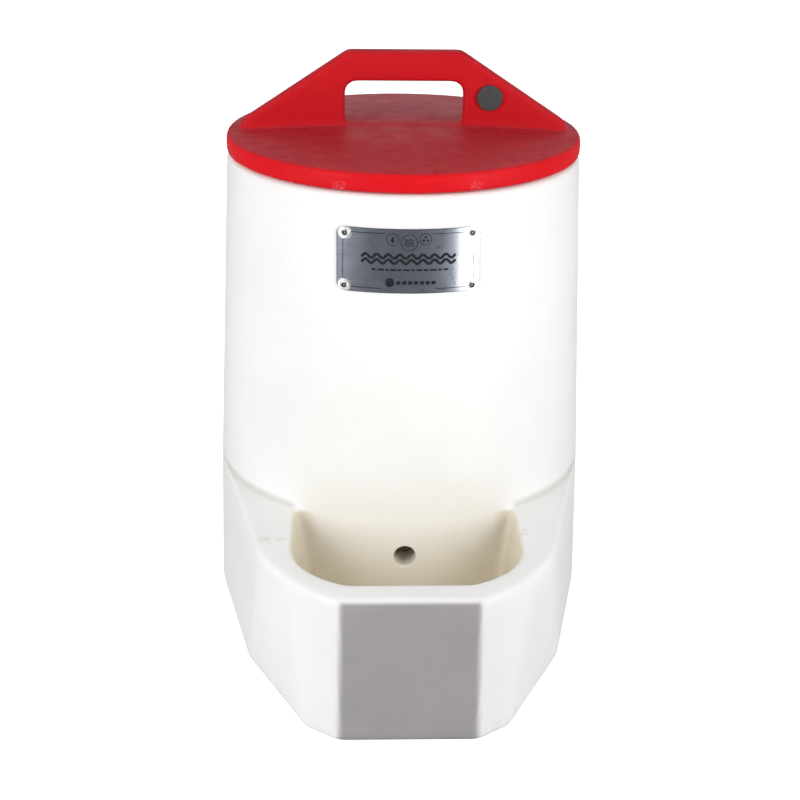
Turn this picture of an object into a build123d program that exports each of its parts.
from build123d import *
import math
import os

os.makedirs("parts", exist_ok=True)

# Poultry waterer fount: a foam-filled double-walled tank with a trough moulded on its front,
# and a screwed, airtight lid whose carrying handle stores the outlet stopper.
# Millimetres. Origin on the tank's axis at floor level, +Z up, the trough towards -Y.

# ---------------------------------------------------------------- driving dimensions
LID_RADIUS = 145.5
LID_UNDER_Z = 392.8
LID_BAND = 15.8
LID_CROWN = 5.0
LID_EDGE_ROUND = 2.5

TANK_TOP_Z = 392.2
TANK_TOP_RADIUS = 145.3
TANK_TOP_ROUND = 3.0
RIM_Z = 126.0
RIM_RADIUS = 156.8
BASE_RADIUS = 160.0
RIM_ROUND = 3.5
BASE_ROUND = 3.0

# Trough block in plan, right half: straight runs as (direction they face, reach from the tank's
# axis), from the side wall to the front panel, and the radius of the corner between each two.
SIDE_ANGLE = 12.5
RIM_RUNS = ((SIDE_ANGLE, RIM_RADIUS), (35.25, 218.5), (58.0, 268.4), (90.0, 284.0))
RIM_CORNERS = (130.0, 130.0, 14.0)
BASE_RUNS = ((SIDE_ANGLE, BASE_RADIUS), (25.6, 184.2), (53.5, 256.8), (90.0, 279.5))
BASE_CORNERS = (20.0, 16.0, 14.0)

# Trough pocket in plan at its rim, in the same way
POCKET_RUNS = ((0.0, 89.5), (62.0, 249.5), (90.0, 257.5))
POCKET_CORNERS = (64.0, 6.0)
POCKET_LEAST_CORNER = 5.0
POCKET_BACK_CORNER = 5.0
POCKET_FLOOR_Z = 48.0
POCKET_DRAFT = 8.0
POCKET_LIP = 2.0
POCKET_FLOOR_ROUND = 14.0

# Walls
SKIN = 4.0
TANK_WALL = 26.0
TANK_FLOOR_Z = 85.0
TANK_FLOOR_BEVEL = 3.0
NECK_RADIUS = 104.0
NECK_BOTTOM_Z = 352.0
SHOULDER_Z = 336.0

# Outlet through the trough's back wall: a bore in the skin, a tube behind it and two O-rings
OUTLET_Z = 95.0
OUTLET_BORE = 9.0
SLEEVE_RADIUS = 12.0
SLEEVE_CHAMFER = 0.8
SLEEVE_RECESS = 0.1
SLEEVE_CLEAR = 1.5
SOCKET_RADIUS = 16.0
SOCKET_LENGTH = 12.0
O_RING_WIRE = 0.9

# Three-start interrupted screw between the neck and the lid's spigot
SCREW_STARTS = 3
SCREW_LEAD = 60.0
LEDGE_Z = 375.0
LEDGE_HEIGHT = 6.0
LEDGE_SPAN = 40.0
LEDGE_INNER = 98.6
LEDGE_ROOT = 2.0
LUG_SPAN = 20.0
LUG_OUTER = 102.7
LUG_PLAY = 0.4

# Lid spigot and seal
SPIGOT_RADIUS = 97.0
SPIGOT_DEPTH = 36.0
SEAL_INNER = 124.2
SEAL_OUTER = 131.8
SEAL_HEIGHT = 3.3
SEAL_PLAY = 0.4

# Handle fin across the lid
FIN_TOP_Z = 473.8
FIN_TOP_HALF = 46.2
FIN_END_X = 133.4
FIN_END_Z = 416.2
FIN_THICKNESS = 14.0
FIN_CORNER = 5.0
FIN_ROUND = 2.6
WINDOW_HALF = 48.3
WINDOW_TOP_Z = 448.8
WINDOW_SILL_Z = 415.0
WINDOW_CORNER = 9.3

# Stopper in its storage hole
STOPPER_X = 69.6
STOPPER_Z = 436.4
STOPPER_HOLE = 9.5
STOPPER_HEAD_RADIUS = 10.3
STOPPER_HEAD = 2.6
STOPPER_HEAD_ROUND = 0.9
STOPPER_HEAD_PLAY = 0.1
STOPPER_SHANK_ROOT = 8.9
STOPPER_SHANK_TIP = 7.8
STOPPER_SHANK = 21.0
STOPPER_RIB = 9.2
STOPPER_RIB_WIRE = 0.8
STOPPER_RIB_PLACE = 0.45

# Name plate and its blind rivets
PLATE_Z = 341.5
PLATE_HEIGHT = 50.0
PLATE_HALF_ANGLE = 21.75
PLATE_THICKNESS = 0.9
PLATE_CORNER = 6.0
RIVET_HALF_ANGLE = 19.1
RIVET_HALF_HEIGHT = 20.5
RIVET_HEAD_RADIUS = 3.2
RIVET_HEAD = 1.2
RIVET_SHANK_RADIUS = 1.6
RIVET_BULB_RADIUS = 2.5
RIVET_BULB = 3.0
MANDREL_RADIUS = 0.9
MANDREL_STAND = 0.35

# Foam filling ports and their plugs
PORT_RADIUS = 10.0
PORT_SEAT_RADIUS = 15.0
PORT_SEAT_DEPTH = 2.5
PORT_FLANGE = 2.0
PORT_FLANGE_PLAY = 0.3
PORT_SHANK_CHAMFER = 1.2
PORT_REACH = 4.0
BASE_PORTS_Y = (70.0, -205.0)

# Longer than any wall that a cutting tool passes through, what counts as no distance, and the
# steps in which a lofted edge is rounded
THROUGH = 40.0
TOLERANCE = 0.1
EDGE_STEPS = 4


# ---------------------------------------------------------------- small helpers
def unit(angle):
    """Plan direction at an angle from the X axis, turning towards the front."""
    return math.cos(math.radians(angle)), math.sin(math.radians(angle))


def meet(first, second):
    """Where two plan lines meet. Each is (normal angle, distance from the tank's axis)."""
    (a1, d1), (a2, d2) = first, second
    n1, n2 = unit(a1), unit(a2)
    det = n1[0] * n2[1] - n1[1] * n2[0]
    return (d1 * n2[1] - d2 * n1[1]) / det, (d2 * n1[0] - d1 * n2[0]) / det


def mirrored_outline(half, back_arc, z):
    """Closed plan face from the right half's pieces, given from back to front.

    The back is an arc that reaches so far behind the axis, or in front of it when negative.
    """
    def point(p, side):
        return (side * p[0], -p[1], z)

    edges = []
    for side in (1, -1):
        for piece in half:
            ends = [point(p, side) for p in piece]
            edges.append(Line(*ends) if len(ends) == 2 else ThreePointArc(*ends))
    front = half[-1][-1]
    back = half[0][0]
    edges.append(Line(point(front, 1), point(front, -1)))
    if back_arc is None:
        edges.append(Line(point(back, 1), point(back, -1)))
    else:
        edges.append(ThreePointArc(point(back, 1), point((0, -back_arc), 1), point(back, -1)))
    return make_face(Curve() + edges)


def cone_radius(z):
    """Outer radius of the tank at a height."""
    if z >= RIM_Z:
        return RIM_RADIUS + (TANK_TOP_RADIUS - RIM_RADIUS) * (z - RIM_Z) / (TANK_TOP_Z - RIM_Z)
    return RIM_RADIUS + (BASE_RADIUS - RIM_RADIUS) * (RIM_Z - z) / RIM_Z


def joined_runs(start, runs, corners):
    """Pieces of a plan outline: straight runs joined by tangent arcs, up to the last run."""
    pieces = []
    here = start
    for first, second, corner in zip(runs, runs[1:], corners):
        tip = meet(first, second)
        half_turn = math.radians((second[0] - first[0]) / 2)
        tangent = corner * math.tan(half_turn)
        depth = corner * (1 / math.cos(half_turn) - 1)
        before = unit(first[0] + 90.0)
        after = unit(second[0] + 90.0)
        middle = unit((first[0] + second[0]) / 2)
        arc_start = (tip[0] - tangent * before[0], tip[1] - tangent * before[1])
        arc_middle = (tip[0] - depth * middle[0], tip[1] - depth * middle[1])
        arc_end = (tip[0] + tangent * after[0], tip[1] + tangent * after[1])
        pieces += [(here, arc_start), (arc_start, arc_middle, arc_end)]
        here = arc_end
    return pieces


def revolved(points):
    """Solid of revolution about Z from (radius, height) points."""
    return revolve(Plane.XZ * make_face(Polyline(*points, close=True)), Axis.Z)


def along_y(solid, x, y, z):
    """Stand a Z-axis solid along -Y at a place."""
    return Pos(x, y, z) * Rot(90, 0, 0) * solid


def quarter(steps):
    """Angles of a quarter turn in even steps."""
    return [90.0 * k / steps for k in range(steps + 1)]


# ---------------------------------------------------------------- body outline
def between(low, high, share):
    """A value part of the way from low to high."""
    return low + (high - low) * share


def block_outline(z, inset, whole):
    """Plan of the body with its trough block, drawn in by an inset."""
    share = z / RIM_Z
    radius = cone_radius(z) - inset
    runs = [(between(low[0], high[0], share), between(low[1], high[1], share) - inset)
            for low, high in zip(BASE_RUNS, RIM_RUNS)]
    corners = [between(low, high, share) - inset for low, high in zip(BASE_CORNERS, RIM_CORNERS)]
    tangent_point = [radius * c for c in unit(SIDE_ANGLE)]
    if whole:
        return mirrored_outline(joined_runs(tangent_point, runs, corners), radius, z)
    start = meet(runs[0], (90.0, (radius + inset) * math.sin(math.radians(SIDE_ANGLE))))
    return mirrored_outline(joined_runs(start, runs, corners), None, z)


def outer_form(inset):
    """The body's outer form: base with the trough block, rounded rim and tank cone."""
    high = RIM_Z - RIM_ROUND
    low = BASE_ROUND
    if inset > 0:
        rows = [block_outline(inset, BASE_ROUND, True)]
        rows.append(block_outline(inset + low, inset, True))
    else:
        rows = []
        for turn in reversed(quarter(EDGE_STEPS)):
            z = low * (1 - math.sin(math.radians(turn)))
            rows.append(block_outline(z, low * (1 - math.cos(math.radians(turn))), True))
    rows.append(block_outline(high, inset, True))
    base = loft(rows, ruled=True)
    top = TANK_TOP_Z - inset
    tank = revolved([(0, high), (cone_radius(high) - inset, high), (RIM_RADIUS - inset, RIM_Z),
                     (cone_radius(top) - inset, top), (0, top)])
    if inset > 0:
        cap = loft([block_outline(high, inset, False),
                    block_outline(RIM_Z - inset, RIM_ROUND, False)], ruled=True)
        return base + tank + cap
    tank = fillet(tank.edges().group_by(Axis.Z)[-1], TANK_TOP_ROUND)
    rows = []
    for turn in quarter(EDGE_STEPS):
        z = RIM_Z - RIM_ROUND + RIM_ROUND * math.sin(math.radians(turn))
        rows.append(block_outline(z, RIM_ROUND * (1 - math.cos(math.radians(turn))), False))
    return base + tank + loft(rows, ruled=True)


def pocket_outline(z, spread, wall, back_corner):
    """Plan of the trough pocket, widened by a spread, with its back on the tank's wall."""
    runs = [(angle, reach + spread) for angle, reach in POCKET_RUNS]
    corners = [max(corner + spread, POCKET_LEAST_CORNER) for corner in POCKET_CORNERS]
    width = runs[0][1]
    centre_x = width - back_corner
    reach = wall + back_corner
    centre_y = math.sqrt(reach ** 2 - centre_x ** 2)
    on_wall = (centre_x * wall / reach, centre_y * wall / reach)
    middle = (1 - centre_x / reach, -centre_y / reach)
    scale = back_corner / math.hypot(*middle)
    corner_middle = (centre_x + scale * middle[0], centre_y + scale * middle[1])
    side_start = (width, centre_y)
    half = [(on_wall, corner_middle, side_start)] + joined_runs(side_start, runs, corners)
    return mirrored_outline(half, -wall, z)


def pocket_form(grow):
    """The trough's pocket with drafted walls, rounded floor and lip, against the tank's cone.

    Above the block's top its back leans clear of the tank.
    """
    floor = POCKET_FLOOR_Z - grow
    bend = POCKET_FLOOR_ROUND
    back_corner = POCKET_BACK_CORNER + grow
    rows = []
    for turn in quarter(EDGE_STEPS):
        z = floor + bend * (1 - math.cos(math.radians(turn)))
        inward = bend * (1 - math.sin(math.radians(turn)))
        wall = cone_radius(z) - grow + inward
        rows.append(pocket_outline(z, grow - POCKET_DRAFT - inward, wall, back_corner))
    for turn in quarter(EDGE_STEPS):
        z = RIM_Z - POCKET_LIP + POCKET_LIP * math.sin(math.radians(turn))
        outward = POCKET_LIP * (1 - math.cos(math.radians(turn)))
        clear = max(0.0, z + grow - RIM_Z)
        rows.append(pocket_outline(z, grow + outward, cone_radius(z) - grow + clear, back_corner))
    top = RIM_Z + SKIN
    rows.append(pocket_outline(top, grow + POCKET_LIP, cone_radius(top) + SKIN, back_corner))
    return loft(rows, ruled=True)


def tank_form(grow):
    """The water space: drafted barrel, sloping shoulder and neck, open at the top."""
    floor = TANK_FLOOR_Z - grow
    low = cone_radius(TANK_FLOOR_Z) - TANK_WALL + grow
    high = cone_radius(SHOULDER_Z) - TANK_WALL + grow
    neck = NECK_RADIUS + grow
    top = TANK_TOP_Z + SKIN
    bevel = TANK_FLOOR_BEVEL
    return revolved([(0, floor), (low - bevel, floor), (low, floor + bevel), (high, SHOULDER_Z + grow / 2),
                     (neck, NECK_BOTTOM_Z + grow / 2), (neck, top), (0, top)])


# ---------------------------------------------------------------- screw ledges and lugs
def screw_piece(inner, outer, span, z, turn):
    """A short inclined block of the screw, centred at a turn about the axis."""
    ring = Cylinder(outer, LEDGE_HEIGHT) - Cylinder(inner, LEDGE_HEIGHT)
    wedge_reach = 2 * outer
    half = math.radians(span / 2)
    corner = (wedge_reach * math.cos(half), wedge_reach * math.sin(half))
    wedge_face = make_face(Polyline((0, 0), corner, (corner[0], -corner[1]), close=True))
    wedge = Pos(0, 0, -LEDGE_HEIGHT) * extrude(wedge_face, 2 * LEDGE_HEIGHT)
    slope = math.degrees(math.asin(SCREW_LEAD / (2 * math.pi * (LEDGE_INNER + LUG_OUTER) / 2)))
    return Rot(0, 0, turn) * Pos(0, 0, z) * Rot(slope, 0, 0) * (ring & wedge)


def screw_turns():
    """Places of the screw's starts about the axis."""
    return [90.0 + 360.0 * k / SCREW_STARTS for k in range(SCREW_STARTS)]


# ---------------------------------------------------------------- name plate and rivets
def radial_frame(angle, z):
    """Place on the tank's front skin, its local Z straight out of the wall."""
    slope = math.degrees(math.atan2(RIM_RADIUS - TANK_TOP_RADIUS, TANK_TOP_Z - RIM_Z))
    radius = cone_radius(z)
    turn = math.radians(angle)
    place = Pos(radius * math.sin(turn), -radius * math.cos(turn), z)
    return place * Rot(0, 0, angle) * Rot(90 - slope, 0, 0)


def rivet_frames():
    """The four rivet places at the plate's corners."""
    frames = []
    for angle in (-RIVET_HALF_ANGLE, RIVET_HALF_ANGLE):
        for rise in (-RIVET_HALF_HEIGHT, RIVET_HALF_HEIGHT):
            frames.append(radial_frame(angle, PLATE_Z + rise))
    return frames


def make_name_plate():
    """Thin plate wrapped on the tank's cone, with rounded corners."""
    low = PLATE_Z - PLATE_HEIGHT
    high = PLATE_Z + PLATE_HEIGHT
    shell = revolved([(cone_radius(low), low), (cone_radius(low) + PLATE_THICKNESS, low),
                      (cone_radius(high) + PLATE_THICKNESS, high), (cone_radius(high), high)])
    width = 2 * cone_radius(PLATE_Z) * math.sin(math.radians(PLATE_HALF_ANGLE))
    blank = extrude(Plane.XZ * RectangleRounded(width, PLATE_HEIGHT, PLATE_CORNER), 2 * LID_RADIUS)
    plate = shell & (Pos(0, 0, PLATE_Z) * blank)
    for frame in rivet_frames():
        plate -= frame * Cylinder(RIVET_SHANK_RADIUS, THROUGH)
    return plate


def rivet_solid():
    """Blind rivet's outside: domed head, shank through the skin and bulb behind it."""
    sphere = (RIVET_HEAD_RADIUS ** 2 + RIVET_HEAD ** 2) / (2 * RIVET_HEAD)
    dome = Pos(0, 0, RIVET_HEAD - sphere) * Sphere(sphere)
    head = dome & (Pos(0, 0, RIVET_HEAD / 2) * Cylinder(2 * RIVET_HEAD_RADIUS, RIVET_HEAD))
    head = Pos(0, 0, PLATE_THICKNESS) * head
    depth = PLATE_THICKNESS + SKIN
    shank = Pos(0, 0, PLATE_THICKNESS - depth / 2) * Cylinder(RIVET_SHANK_RADIUS, depth)
    bulb = Pos(0, 0, -SKIN - RIVET_BULB / 2) * Cylinder(RIVET_BULB_RADIUS, RIVET_BULB)
    return head + shank + bulb


def mandrel_solid():
    """Broken mandrel left inside the rivet, ending below the head's crown."""
    top = PLATE_THICKNESS + RIVET_HEAD * MANDREL_STAND
    bottom = -SKIN - RIVET_BULB
    return Pos(0, 0, (top + bottom) / 2) * Cylinder(MANDREL_RADIUS, top - bottom)


def make_rivet_bodies():
    """Four rivets, each bored for its mandrel."""
    bored = rivet_solid() - Cylinder(MANDREL_RADIUS, THROUGH)
    return Compound(children=[frame * bored for frame in rivet_frames()])


def make_rivet_mandrels():
    """Four broken mandrels."""
    return Compound(children=[frame * mandrel_solid() for frame in rivet_frames()])


# ---------------------------------------------------------------- foam filling plugs
def port_cut():
    """Material removed for one filling port above a skin's underside at z = 0."""
    seat = Pos(0, 0, PORT_SEAT_DEPTH / 2) * Cylinder(PORT_SEAT_RADIUS, PORT_SEAT_DEPTH)
    depth = SKIN + PORT_REACH
    return seat + Pos(0, 0, depth / 2) * Cylinder(PORT_RADIUS, depth)


def fill_plug():
    """Push-in plug: a thin flange in the seat and a bevelled shank in the port."""
    flange = Cylinder(PORT_SEAT_RADIUS - PORT_FLANGE_PLAY, PORT_FLANGE)
    shank_height = SKIN + PORT_REACH - PORT_SEAT_DEPTH + PORT_FLANGE
    shank = Cylinder(PORT_RADIUS, shank_height)
    shank = chamfer(shank.edges().group_by(Axis.Z)[-1], PORT_SHANK_CHAMFER)
    low = PORT_SEAT_DEPTH - PORT_FLANGE
    return Pos(0, 0, low + PORT_FLANGE / 2) * flange + Pos(0, 0, low + shank_height / 2) * shank


# ---------------------------------------------------------------- outlet
OUTLET_WALL = cone_radius(OUTLET_Z)
SLEEVE_INSIDE = -(OUTLET_WALL - TANK_WALL) - SLEEVE_RECESS
SLEEVE_OUTSIDE = -(OUTLET_WALL - SKIN)
SEAL_PLACES = (-(OUTLET_WALL - TANK_WALL) - SKIN / 2, SLEEVE_OUTSIDE + SOCKET_LENGTH / 2)


def cross_bar(radius, start, end):
    """Round bar along Y on the outlet's axis, between two Y values."""
    return along_y(Cylinder(radius, abs(end - start)), 0, (start + end) / 2, OUTLET_Z)


def make_outlet_sleeve():
    """Tube through the double wall, with a groove for an O-ring near each end."""
    tube = cross_bar(SLEEVE_RADIUS, SLEEVE_OUTSIDE, SLEEVE_INSIDE)
    tube -= cross_bar(OUTLET_BORE, SLEEVE_OUTSIDE, SLEEVE_INSIDE)
    mouth = tube.edges().group_by(Axis.Y)[-1].sort_by(SortBy.LENGTH)[0]
    tube = chamfer(mouth, SLEEVE_CHAMFER)
    for y in SEAL_PLACES:
        groove = cross_bar(SLEEVE_RADIUS, y - O_RING_WIRE, y + O_RING_WIRE)
        groove -= cross_bar(SLEEVE_RADIUS - 2 * O_RING_WIRE, y - O_RING_WIRE, y + O_RING_WIRE)
        tube -= groove
    return tube


def make_outlet_seals():
    """Two O-rings round the outlet tube."""
    ring = Torus(SLEEVE_RADIUS - O_RING_WIRE, O_RING_WIRE)
    return Compound(children=[along_y(ring, 0, y, OUTLET_Z) for y in SEAL_PLACES])


def outlet_socket():
    """Boss behind the trough's back skin, rooted in it, that holds the outlet tube's front end."""
    return cross_bar(SOCKET_RADIUS, SLEEVE_OUTSIDE - SKIN / 2, SLEEVE_OUTSIDE + SOCKET_LENGTH)


# ---------------------------------------------------------------- body
def wall_openings():
    """Bores through the body's skins for the outlet tube and the base's filling ports."""
    cuts = cross_bar(SLEEVE_RADIUS, SLEEVE_OUTSIDE, SLEEVE_INSIDE + SLEEVE_CLEAR)
    cuts += cross_bar(OUTLET_BORE, SLEEVE_OUTSIDE - THROUGH / 2, SLEEVE_OUTSIDE + THROUGH)
    for y in BASE_PORTS_Y:
        cuts += Pos(0, y, 0) * port_cut()
    return cuts


def foam_space():
    """Space between the body's skins."""
    return outer_form(SKIN) - tank_form(SKIN) - pocket_form(SKIN) - outlet_socket()


def make_body_foam():
    """Insulating foam between the skins, below the tank and round the trough."""
    foam = foam_space() - wall_openings()
    for frame in rivet_frames():
        foam -= frame * rivet_solid()
    return foam


def make_body_shell():
    """One-piece double-walled moulding: outer skin, water tank, neck ledges and trough."""
    body = outer_form(0) - tank_form(0) - pocket_form(0) - foam_space() - wall_openings()
    for turn in screw_turns():
        body += screw_piece(LEDGE_INNER, NECK_RADIUS + LEDGE_ROOT, LEDGE_SPAN, LEDGE_Z, turn)
    for frame in rivet_frames():
        body -= frame * rivet_solid()
    return body


# ---------------------------------------------------------------- lid
def fin_outline(foot):
    """Face of the handle fin with its hand opening, standing in the XZ plane."""
    right = [(FIN_TOP_HALF, FIN_TOP_Z), (FIN_END_X, FIN_END_Z), (FIN_END_X, foot)]
    left = [(-x, z) for x, z in reversed(right)]
    face = make_face(Polyline(*left, *right, close=True))
    face = fillet(face.vertices().filter_by(lambda v: v.Y > foot + FIN_CORNER), FIN_CORNER)
    opening_height = WINDOW_TOP_Z - WINDOW_SILL_Z
    opening = Pos(0, WINDOW_SILL_Z + opening_height / 2) * Rectangle(2 * WINDOW_HALF, opening_height)
    return face - fillet(opening.vertices().group_by(Axis.Y)[-1], WINDOW_CORNER)


def is_fin_rim(edge):
    """Whether an edge runs round one face of the fin, above the lid."""
    box = edge.bounding_box()
    on_face = box.size.Y < TOLERANCE and abs(abs(edge.center().Y) - FIN_THICKNESS / 2) < TOLERANCE
    return on_face and box.max.Z > FIN_END_Z - FIN_CORNER


def fin_form():
    """Handle fin across the lid with rounded edges and the stopper's storage hole."""
    foot = LID_UNDER_Z + LID_BAND / 2
    fin = extrude(Plane.XZ * fin_outline(foot), FIN_THICKNESS / 2, both=True)
    fin = fillet([edge for edge in fin.edges() if is_fin_rim(edge)], FIN_ROUND)
    return fin - along_y(Cylinder(STOPPER_HOLE, THROUGH), STOPPER_X, 0, STOPPER_Z)


LID_EDGE_Z = LID_UNDER_Z + LID_BAND


def spigot_space():
    """Space inside the lid's spigot, under its flat top skin."""
    floor = LID_UNDER_Z - SPIGOT_DEPTH + SKIN
    reach = SPIGOT_RADIUS - SKIN
    return revolved([(0, floor), (reach, floor), (reach, LID_EDGE_Z - SKIN), (0, LID_EDGE_Z)])


def lid_port():
    """Filling port in the spigot's underside."""
    return Pos(0, 0, LID_UNDER_Z - SPIGOT_DEPTH) * port_cut()


def make_lid_foam():
    """Insulating foam inside the lid's spigot."""
    return spigot_space() - lid_port()


def lid_disc():
    """Domed disc with a vertical band round its edge."""
    round_z = LID_EDGE_Z - LID_EDGE_ROUND
    round_x = LID_RADIUS - LID_EDGE_ROUND
    crown = (0, LID_EDGE_Z + LID_CROWN)
    profile = [Line((0, LID_UNDER_Z), (LID_RADIUS, LID_UNDER_Z)),
               Line((LID_RADIUS, LID_UNDER_Z), (LID_RADIUS, round_z)),
               RadiusArc((LID_RADIUS, round_z), (round_x, LID_EDGE_Z), -LID_EDGE_ROUND),
               TangentArc(crown, (round_x, LID_EDGE_Z), tangent=(1, 0)),
               Line(crown, (0, LID_UNDER_Z))]
    return revolve(Plane.XZ * make_face(Curve() + profile), Axis.Z)


def make_lid_shell():
    """Lid moulding: domed disc, spigot with screw lugs, seal groove and handle fin."""
    spigot = Pos(0, 0, LID_UNDER_Z - SPIGOT_DEPTH / 2) * Cylinder(SPIGOT_RADIUS, SPIGOT_DEPTH)
    lid = lid_disc() + spigot + fin_form() - spigot_space() - lid_port()
    groove_height = SEAL_HEIGHT + SEAL_PLAY - (LID_UNDER_Z - TANK_TOP_Z)
    groove = Cylinder(SEAL_OUTER + SEAL_PLAY, groove_height)
    groove -= Cylinder(SEAL_INNER - SEAL_PLAY, groove_height)
    lid -= Pos(0, 0, LID_UNDER_Z + groove_height / 2) * groove
    lug_z = LEDGE_Z - LEDGE_HEIGHT - LUG_PLAY
    for turn in screw_turns():
        lid += screw_piece(SPIGOT_RADIUS - LEDGE_ROOT, LUG_OUTER, LUG_SPAN, lug_z, turn)
    return lid


def make_lid_seal():
    """Flat rubber ring in the lid's groove, resting on the neck's land."""
    ring = Cylinder(SEAL_OUTER, SEAL_HEIGHT) - Cylinder(SEAL_INNER, SEAL_HEIGHT)
    return Pos(0, 0, TANK_TOP_Z + SEAL_HEIGHT / 2) * ring


def make_stopper():
    """Rubber bung: flat head, tapered shank and one sealing rib."""
    head = Pos(0, 0, STOPPER_HEAD / 2) * Cylinder(STOPPER_HEAD_RADIUS, STOPPER_HEAD)
    head = fillet(head.edges().group_by(Axis.Z)[-1], STOPPER_HEAD_ROUND)
    shank = Pos(0, 0, -STOPPER_SHANK / 2) * Cone(STOPPER_SHANK_TIP, STOPPER_SHANK_ROOT, STOPPER_SHANK)
    rib = Torus(STOPPER_RIB - STOPPER_RIB_WIRE, STOPPER_RIB_WIRE)
    bung = head + shank + Pos(0, 0, -STOPPER_SHANK * STOPPER_RIB_PLACE) * rib
    return along_y(bung, STOPPER_X, -FIN_THICKNESS / 2 - STOPPER_HEAD_PLAY, STOPPER_Z)


def make_body_plugs():
    """Plugs in the base's two filling ports."""
    return Compound(children=[Pos(0, y, 0) * fill_plug() for y in BASE_PORTS_Y])


def make_lid_plug():
    """Plug in the lid's filling port."""
    return Pos(0, 0, LID_UNDER_Z - SPIGOT_DEPTH) * fill_plug()


# ---------------------------------------------------------------- write the parts
NODES = {
    "body_shell": make_body_shell,
    "body_foam": make_body_foam,
    "body_fill_plugs": make_body_plugs,
    "outlet_sleeve": make_outlet_sleeve,
    "outlet_seals": make_outlet_seals,
    "name_plate": make_name_plate,
    "rivet_bodies": make_rivet_bodies,
    "rivet_mandrels": make_rivet_mandrels,
    "lid_shell": make_lid_shell,
    "lid_foam": make_lid_foam,
    "lid_fill_plug": make_lid_plug,
    "lid_seal": make_lid_seal,
    "stopper": make_stopper,
}

for node, make in NODES.items():
    export_step(make(), f"parts/{node}.step")
    print("wrote", node)
